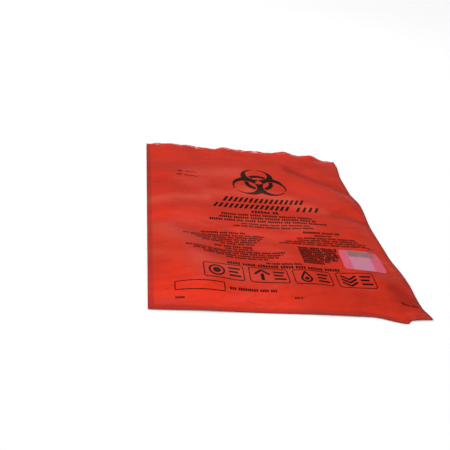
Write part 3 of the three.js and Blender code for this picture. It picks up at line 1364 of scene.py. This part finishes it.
@dataclass(frozen=True)
class PictureFrame:
    """A framed picture place: a rounded outline, a bold plain motif and short bars beside it."""

    left: float
    low: float
    motif: Motif
    width: float = 71.0
    height: float = 39.0
    line: float = 1.7
    corner: float = 5.0
    motif_share: float = 0.32
    bars: tuple[Place, ...] = ((0.74, 0.92), (0.5, 0.86), (0.26, 0.92))
    bar_left: float = 0.62
    bar_boldness: float = 2.4
    corner_steps: int = 3
    cell: float = 3.0
    fine_cell: float = 2.0

    def _path(self, points: Sequence[Place]) -> list[Place]:
        """Turn shares of the frame's width and height into places on the bag."""
        return [(self.left + self.width * across, self.low + self.height * up) for across, up in points]

    def _arc(self, middle: Place, radius: float, first: float, last: float, steps: int) -> list[Place]:
        """Give the points of an arc from one angle to another in degrees, both ends included."""
        turns = [math.radians(first + (last - first) * step / steps) for step in range(steps + 1)]
        return [(middle[0] + radius * math.cos(turn), middle[1] + radius * math.sin(turn)) for turn in turns]

    def _outline(self) -> list[Place]:
        """Give the frame's rounded outline.

        Returns:
            Its points.
        """
        points: list[Place] = []
        inner_x = (self.left + self.corner, self.left + self.width - self.corner)
        inner_y = (self.low + self.corner, self.low + self.height - self.corner)
        for middle, first in (
            ((inner_x[1], inner_y[1]), 0),
            ((inner_x[0], inner_y[1]), 90),
            ((inner_x[0], inner_y[0]), 180),
            ((inner_x[1], inner_y[0]), 270),
        ):
            points += self._arc(middle, self.corner, first, first + 90, self.corner_steps)
        return points

    def _ring(self, middle: Place, radius: float, sides: int) -> list[Place]:
        """Give the corners of a ring."""
        return self._arc(middle, radius, 0, 360 - 360 / sides, sides - 1)

    def _strokes(self) -> list[tuple[list[Place], float, bool]]:
        """Give the motif's lines: a ring round a spot, an arrow, a drop with a spot in it, or chevrons.

        Returns:
            Each line's points, how many times bolder than the frame it is, and whether it is closed.
        """
        across = self.motif_share
        middle = self._path([(across, 0.5)])[0]
        if self.motif is Motif.RINGS:
            return [(self._ring(middle, 13.0, 24), 1.8, True), (self._ring(middle, 4.0, 12), 3.4, True)]
        if self.motif is Motif.ARROW:
            shaft = self._path([(across, 0.14), (across, 0.56)])
            head = self._path([(0.13, 0.52), (across, 0.84), (0.51, 0.52)])
            return [(shaft, 3.6, False), (head, 2.6, False)]
        if self.motif is Motif.DROP:
            tip, bulb = (middle[0], middle[1] + 15.0), (middle[0], middle[1] - 4.5)
            drop = [tip, *self._arc(bulb, 9.0, 28, -208, 12)]
            return [(drop, 2.2, True), (self._ring(bulb, 2.6, 6), 2.0, True)]
        return [
            (self._path([(0.12, low + 0.24), (across, low), (0.52, low + 0.24)]), 2.4, False)
            for low in (0.12, 0.34, 0.56)
        ]

    def draw(self, drawn: FlatFaces) -> None:
        """Draw the frame, its bars and its motif.

        Args:
            drawn: The faces drawn so far.
        """
        drawn.band(self._outline(), self.line, closed=True)
        for up, far in self.bars:
            drawn.band(self._path([(self.bar_left, up), (far, up)]), self.line * self.bar_boldness)
        for points, boldness, closed in self._strokes():
            cell = self.fine_cell if closed else self.cell
            drawn.band(points, self.line * boldness, closed, cell)


@dataclass
class Print:
    """Everything printed on the front panel, as thin layers of ink that follow the film."""

    shape: FilmShape
    sign: HazardSign = field(default_factory=HazardSign)
    lift: float = 0.22
    thickness: float = 0.06
    heading: StripedHeading = field(default_factory=lambda: StripedHeading((
        Row(-82, 99, 50, 19.0),
        Row(-106, 61, 23, 19.0),
        Row(75, 130, 22, 17.0),
    )))
    small_print: dict[str, PlainRows] = field(default_factory=lambda: {
        "notice_rows_ink": PlainRows((
            Row(-25, 40, 1, 11.0), Row(-91, 109, -13.5, 7.4), Row(-97, 114, -24.5, 7.4),
            Row(-118, 138, -35.5, 7.4), Row(-54, 93, -47, 5.4), Row(-71, 98, -56, 5.4),
        ), 31),
        "left_notes_ink": PlainRows((
            Row(-139, -49, -83, 6.2), Row(-174, -10, -92.5, 5.0), Row(-160, -18, -99.5, 5.0),
            Row(-150, -24, -106.5, 5.0), Row(-140, -30, -113.5, 5.0), Row(-104, -37, -120.5, 4.6),
            Row(-118, -43, -130, 6.2), Row(-98, -44, -138, 5.0), Row(-174, 19, -146, 5.0),
            Row(-160, 12, -153, 5.0), Row(-142, 4, -160, 5.0), Row(-100, -18, -167, 4.6),
        ), 32),
        "right_notes_ink": PlainRows((
            Row(70, 153, -70.5, 6.6), Row(92, 129, -79.5, 5.0), Row(53, 179, -87.5, 5.0),
            Row(53, 186, -94.5, 5.0), Row(26, 200, -101.5, 5.0), Row(13, 214, -108.5, 5.0),
        ), 33),
        "dense_block_ink": PlainRows(tuple(
            Row(47, right, -121 - 6.1 * k, 5.6)
            for k, right in enumerate((128, 127, 128, 126, 127, 124, 118, 104, 92))
        ), 34, tick_share=0.78, word_ticks=(6, 16)),
        "banner_rows_ink": PlainRows((
            Row(-27, 44, -178.5, 5.0), Row(-101, 117, -187.5, 8.0), Row(-104, -15, -254, 6.4),
        ), 35),
        "small_marks_ink": PlainRows((
            Row(-172, -160, 155, 6.0), Row(-154, -128, 155, 3.6), Row(-175, -163, 138, 6.0),
            Row(-157, -125, 138, 3.6), Row(-197, -181, -278, 4.2), Row(8, 25, -268, 4.2),
            Row(204, 237, -265, 4.4, fall=10.0),
        ), 36),
    })
    frame_lefts: tuple[float, ...] = (-146.0, -64.0, 18.0, 101.0)
    frame_low: float = -234.0
    box_low: Place = (-197.0, -262.0)
    box_high: Place = (-113.0, -244.0)
    box_line: float = 1.6

    def _top(self, x: Array, y: Array) -> Array:
        """Give the height of the ink's upper side."""
        return self.shape.front_height(x, y) + self.lift + self.thickness

    def build(self) -> list[bpy.types.Object]:
        """Build one piece of ink for each part of the print.

        Returns:
            The pieces.
        """
        pictures, box = FlatFaces(), FlatFaces()
        for left, motif in zip(self.frame_lefts, Motif):
            PictureFrame(left, self.frame_low, motif).draw(pictures)
        (left, low), (right, high) = self.box_low, self.box_high
        box.band([(left, low), (right, low), (right, high), (left, high)], self.box_line, closed=True)
        drawings = {
            "hazard_sign_ink": self.sign.draw(),
            "heading_stripes_ink": self.heading.draw(),
            **{name: rows.draw() for name, rows in self.small_print.items()},
            "picture_frames_ink": pictures,
            "write_in_box_ink": box,
        }
        marks = FilmTone().marks()
        return [
            thin_sheet(name, self.shape, drawn, self._top, self.thickness, marks)
            for name, drawn in drawings.items()
        ]

    def dress(self, pieces: list[bpy.types.Object]) -> None:
        """Finish the ink.

        Args:
            pieces: The pieces of ink.
        """
        ink = InkFinish().material()
        for piece in pieces:
            dress(piece, ink)


@dataclass
class Studio:
    """The pale floor, the soft lights and the camera at the photograph's place."""

    eye: Point = (-0.2975, -0.9665, 0.5901)
    yaw: float = 0.2205
    pitch: float = 0.555
    roll: float = 0.1846
    lens: float = 44.5
    sensor: float = 36.0
    floor_half: float = 6.0
    floor_drop: float = 0.0004
    key_origin: Point = (-0.7, -0.5, 1.1)
    key_spread: float = 70.0
    key_strength: float = 3.5
    back_place: Point = (0.2, 1.5, 1.9)
    back_target: Point = (0.0, 0.3, 0.0)
    back_size: Place = (1.0, 0.2)
    back_watts: float = 5.0
    surround: float = 0.25

    def _floor(self) -> None:
        """Make the floor, just under the bag."""
        mesh = bpy.data.meshes.new("floor")
        half, low = self.floor_half, -self.floor_drop
        corners = [(-half, -half, low), (half, -half, low), (half, half, low), (-half, half, low)]
        mesh.from_pydata(corners, [], [(0, 1, 2, 3)])
        mesh.materials.append(FloorFinish().material())
        placed("floor", mesh)

    def _lamp(self, name: str, kind: str, energy: float, turn: Euler) -> bpy.types.Object:
        """Add a light.

        Args:
            name: The light's name.
            kind: Its type.
            energy: Its strength or power.
            turn: How it is turned.

        Returns:
            The light's object.
        """
        lamp = placed(name, bpy.data.lights.new(name, kind))
        lamp.data.energy = energy
        lamp.rotation_euler = turn
        return lamp

    def _lights(self) -> None:
        """Add an even soft light from the left and a long soft one behind the mouth."""
        turn = Vector(self.key_origin).to_track_quat("Z", "Y").to_euler()
        key = self._lamp("key_light", "SUN", self.key_strength, turn)
        key.data.angle = math.radians(self.key_spread)
        turn = (Vector(self.back_target) - Vector(self.back_place)).to_track_quat("-Z", "Y").to_euler()
        back = self._lamp("back_light", "AREA", self.back_watts, turn)
        back.location = self.back_place
        back.data.shape = "RECTANGLE"
        back.data.size, back.data.size_y = self.back_size

    def _camera(self) -> None:
        """Set the camera up, turned by its yaw, pitch and roll."""
        ahead = Vector((
            math.sin(self.yaw) * math.cos(self.pitch),
            math.cos(self.yaw) * math.cos(self.pitch),
            -math.sin(self.pitch),
        ))
        level = Vector((math.cos(self.yaw), -math.sin(self.yaw), 0.0))
        upright = level.cross(ahead)
        right = level * math.cos(self.roll) + upright * math.sin(self.roll)
        up = upright * math.cos(self.roll) - level * math.sin(self.roll)
        data = bpy.data.cameras.new("camera")
        data.lens = self.lens
        data.sensor_width = self.sensor
        camera = placed("camera", data)
        turned = Matrix((right, up, -ahead)).transposed().to_4x4()
        camera.matrix_world = Matrix.Translation(self.eye) @ turned
        bpy.context.scene.camera = camera

    def build(self) -> None:
        """Build the floor, the lights, the surrounding light and the camera."""
        self._floor()
        self._lights()
        world = bpy.data.worlds.new("studio_world")
        world.use_nodes = True
        background = world.node_tree.nodes["Background"]
        background.inputs["Color"].default_value = (1, 1, 1, 1)
        background.inputs["Strength"].default_value = self.surround
        bpy.context.scene.world = world
        bpy.context.scene.view_settings.view_transform = "Standard"
        self._camera()


def main() -> None:
    """Build the bag's pieces in order, then the studio."""
    logging.basicConfig(level=logging.INFO, format="%(name)s: %(message)s")
    shape = FilmShape()
    for part in (Panels(shape), Label(shape), Print(shape)):
        part.dress(part.build())
    Studio().build()


if __name__ == "__main__":
    main()
